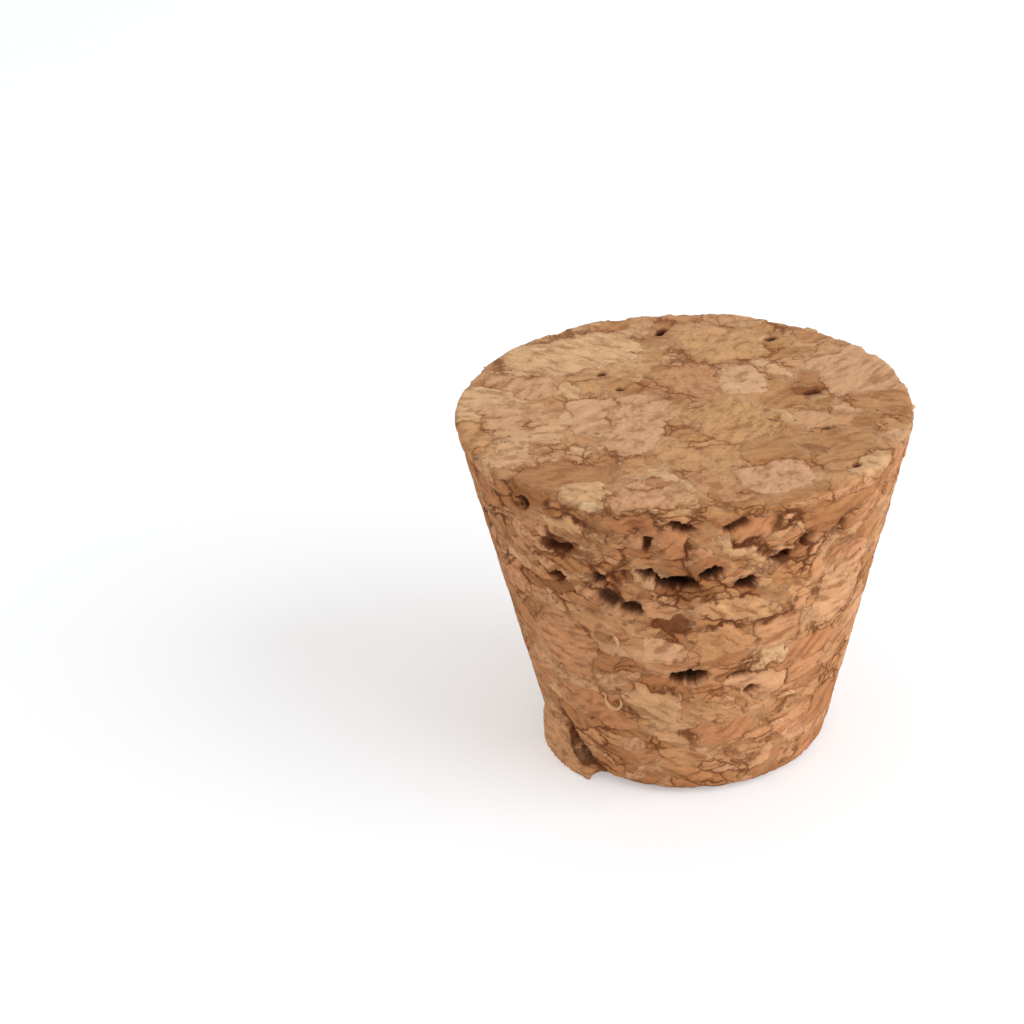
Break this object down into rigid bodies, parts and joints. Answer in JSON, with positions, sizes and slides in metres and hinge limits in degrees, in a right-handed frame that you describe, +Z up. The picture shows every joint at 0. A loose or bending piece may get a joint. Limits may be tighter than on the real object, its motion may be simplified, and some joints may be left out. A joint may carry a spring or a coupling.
{
  "type": "tapered cork stopper",
  "caption": "Round tapered stopper of pressed cork granules, with flat ends, ragged rims and an open pitted side, pushed into a bottle, jar or flask mouth to close it.",
  "frame": {"origin": "centre of the small end, on the plane that the stopper stands on", "axes": "+Z up the stopper's axis to the large end, -Y to its most pitted side, +X to the right of that side"},
  "size_m": [0.028, 0.028, 0.0225],
  "materials": {
    "cork": "matt pressed cork granules, bare"
  },
  "bodies": {
    "root": {"stopper": "cork"}
  },
  "joints": []
}
